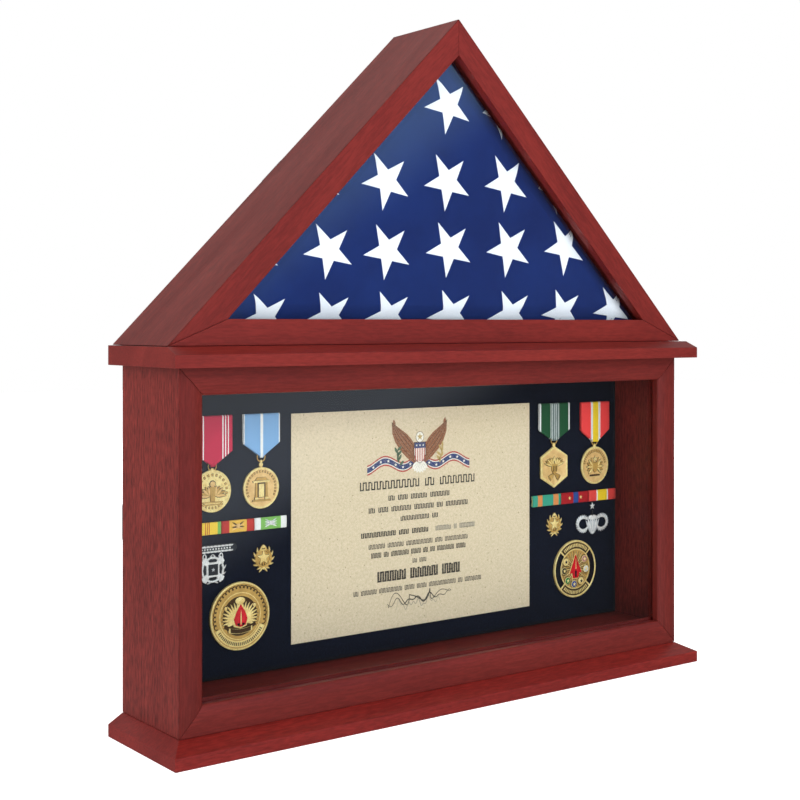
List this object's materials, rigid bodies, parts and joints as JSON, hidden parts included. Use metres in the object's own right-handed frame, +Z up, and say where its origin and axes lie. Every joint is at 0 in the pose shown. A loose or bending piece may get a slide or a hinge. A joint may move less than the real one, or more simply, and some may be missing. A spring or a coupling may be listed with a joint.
{
  "type": "folded flag display case",
  "caption": "Wooden case with a glazed triangular top for a folded flag over a glazed shadow box for medals, with lift-out backs held by turn buttons.",
  "frame": {"origin": "centre of the bounding box at its lowest height, on the plane that the plinth rests on", "axes": "+Z up, +X to the right as seen from the front, -Y towards the viewer: the glass faces -Y and the backs face +Y"},
  "size_m": [0.628, 0.129, 0.6551],
  "materials": {
    "cherry_wood": "satin lacquer over red cherry stain",
    "inner_wood": "satin, dark stain",
    "clear_glass": "polished",
    "zinc_plated_steel": "satin zinc plate",
    "hardboard": "matte",
    "foam_board": "matte",
    "dark_felt": "matte felt",
    "flag_cloth": "woven cotton bunting with white stars",
    "parchment": "mottled parchment paper",
    "crimson_ribbon": "ribbed silk ribbon",
    "light_blue_ribbon": "ribbed silk ribbon",
    "green_ribbon": "ribbed silk ribbon",
    "red_ribbon": "ribbed silk ribbon",
    "ribbon_bar_cloth": "striped silk over a bar",
    "bronze": "antiqued",
    "gold_metal": "polished with dark recesses",
    "silver_metal": "polished with dark recesses"
  },
  "bodies": {
    "case": {"base_plinth": "cherry_wood", "box_bottom_board": "cherry_wood", "box_button_bottom_screw": "zinc_plated_steel", "box_button_left_screw": "zinc_plated_steel", "box_button_right_screw": "zinc_plated_steel", "box_button_top_screw": "zinc_plated_steel", "box_left_side": "cherry_wood", "box_right_side": "cherry_wood", "box_top_board": "cherry_wood", "flag_button_bottom_screw": "zinc_plated_steel", "flag_button_left_screw": "zinc_plated_steel", "flag_button_right_screw": "zinc_plated_steel", "flag_case_bottom_board": "cherry_wood", "flag_case_left_side": "cherry_wood", "flag_case_right_side": "cherry_wood", "flag_frame_bottom_rail": "cherry_wood", "flag_frame_left_rail": "cherry_wood", "flag_frame_right_rail": "cherry_wood", "flag_glass": "clear_glass", "flag_glass_retainer": "inner_wood", "folded_flag": "flag_cloth", "lower_bead_bottom": "inner_wood", "lower_bead_left": "inner_wood", "lower_bead_right": "inner_wood", "lower_bead_top": "inner_wood", "lower_frame_bottom_rail": "cherry_wood", "lower_frame_left_stile": "cherry_wood", "lower_frame_right_stile": "cherry_wood", "lower_frame_top_rail": "cherry_wood", "lower_glass": "clear_glass", "middle_ledge": "cherry_wood"},
    "shadow_box_back": {"certificate": "parchment", "crimson_ribbon": "crimson_ribbon", "felt_cover": "dark_felt", "green_ribbon": "green_ribbon", "left_coin": "gold_metal", "left_gold_badge": "gold_metal", "left_ribbon_bar": "ribbon_bar_cloth", "light_blue_ribbon": "light_blue_ribbon", "lower_back_panel": "hardboard", "medal_pad": "foam_board", "red_ribbon": "red_ribbon", "right_coin": "gold_metal", "right_gold_badge": "gold_metal", "right_ribbon_bar": "ribbon_bar_cloth", "silver_hanging_badge": "silver_metal", "silver_wings_badge": "silver_metal"},
    "flag_case_back": {"flag_back_panel": "hardboard"},
    "box_button_bottom": {"box_button_bottom": "zinc_plated_steel"},
    "box_button_left": {"box_button_left": "zinc_plated_steel"},
    "box_button_right": {"box_button_right": "zinc_plated_steel"},
    "box_button_top": {"box_button_top": "zinc_plated_steel"},
    "flag_button_bottom": {"flag_button_bottom": "zinc_plated_steel"},
    "flag_button_left": {"flag_button_left": "zinc_plated_steel"},
    "flag_button_right": {"flag_button_right": "zinc_plated_steel"},
    "crimson_pendant": {"crimson_pendant": "bronze"},
    "green_pendant": {"green_pendant": "bronze"},
    "light_blue_pendant": {"light_blue_pendant": "bronze"},
    "red_pendant": {"red_pendant": "gold_metal"}
  },
  "joints": [
    {"name": "shadow_box_back_slide", "type": "slide", "parent": "case", "child": "shadow_box_back", "axis": [0, 1, 0], "range_m": [0, 0.15]},
    {"name": "flag_case_back_slide", "type": "slide", "parent": "case", "child": "flag_case_back", "axis": [0, 1, 0], "range_m": [0, 0.15]},
    {"name": "box_button_left_turn", "type": "hinge", "parent": "case", "child": "box_button_left", "pos_m": [-0.296, 0.0615, 0.1734], "axis": [0, 1, 0], "range_deg": [0, 90]},
    {"name": "box_button_right_turn", "type": "hinge", "parent": "case", "child": "box_button_right", "pos_m": [0.296, 0.0615, 0.1734], "axis": [0, -1, 0], "range_deg": [0, 90]},
    {"name": "box_button_top_turn", "type": "hinge", "parent": "case", "child": "box_button_top", "pos_m": [0, 0.0615, 0.3233], "axis": [0, 1, 0], "range_deg": [0, 90]},
    {"name": "box_button_bottom_turn", "type": "hinge", "parent": "case", "child": "box_button_bottom", "pos_m": [0, 0.0615, 0.0321], "axis": [0, -1, 0], "range_deg": [0, 90]},
    {"name": "flag_button_left_turn", "type": "hinge", "parent": "case", "child": "flag_button_left", "pos_m": [-0.15217, 0.0615, 0.49747], "axis": [0, 1, 0], "range_deg": [0, 90]},
    {"name": "flag_button_right_turn", "type": "hinge", "parent": "case", "child": "flag_button_right", "pos_m": [0.15217, 0.0615, 0.49747], "axis": [0, -1, 0], "range_deg": [0, 90]},
    {"name": "flag_button_bottom_turn", "type": "hinge", "parent": "case", "child": "flag_button_bottom", "pos_m": [0, 0.0615, 0.3493], "axis": [0, -1, 0], "range_deg": [0, 90]},
    {"name": "crimson_pendant_swing", "type": "hinge", "parent": "shadow_box_back", "child": "crimson_pendant", "pos_m": [-0.229, 0.0269, 0.2358], "axis": [0, 1, 0], "range_deg": [-12, 12]},
    {"name": "light_blue_pendant_swing", "type": "hinge", "parent": "shadow_box_back", "child": "light_blue_pendant", "pos_m": [-0.178, 0.0269, 0.2413], "axis": [0, 1, 0], "range_deg": [-12, 12]},
    {"name": "green_pendant_swing", "type": "hinge", "parent": "shadow_box_back", "child": "green_pendant", "pos_m": [0.189, 0.0269, 0.2385], "axis": [0, 1, 0], "range_deg": [-12, 12]},
    {"name": "red_pendant_swing", "type": "hinge", "parent": "shadow_box_back", "child": "red_pendant", "pos_m": [0.25, 0.0269, 0.2343], "axis": [0, 1, 0], "range_deg": [-12, 12]}
  ]
}
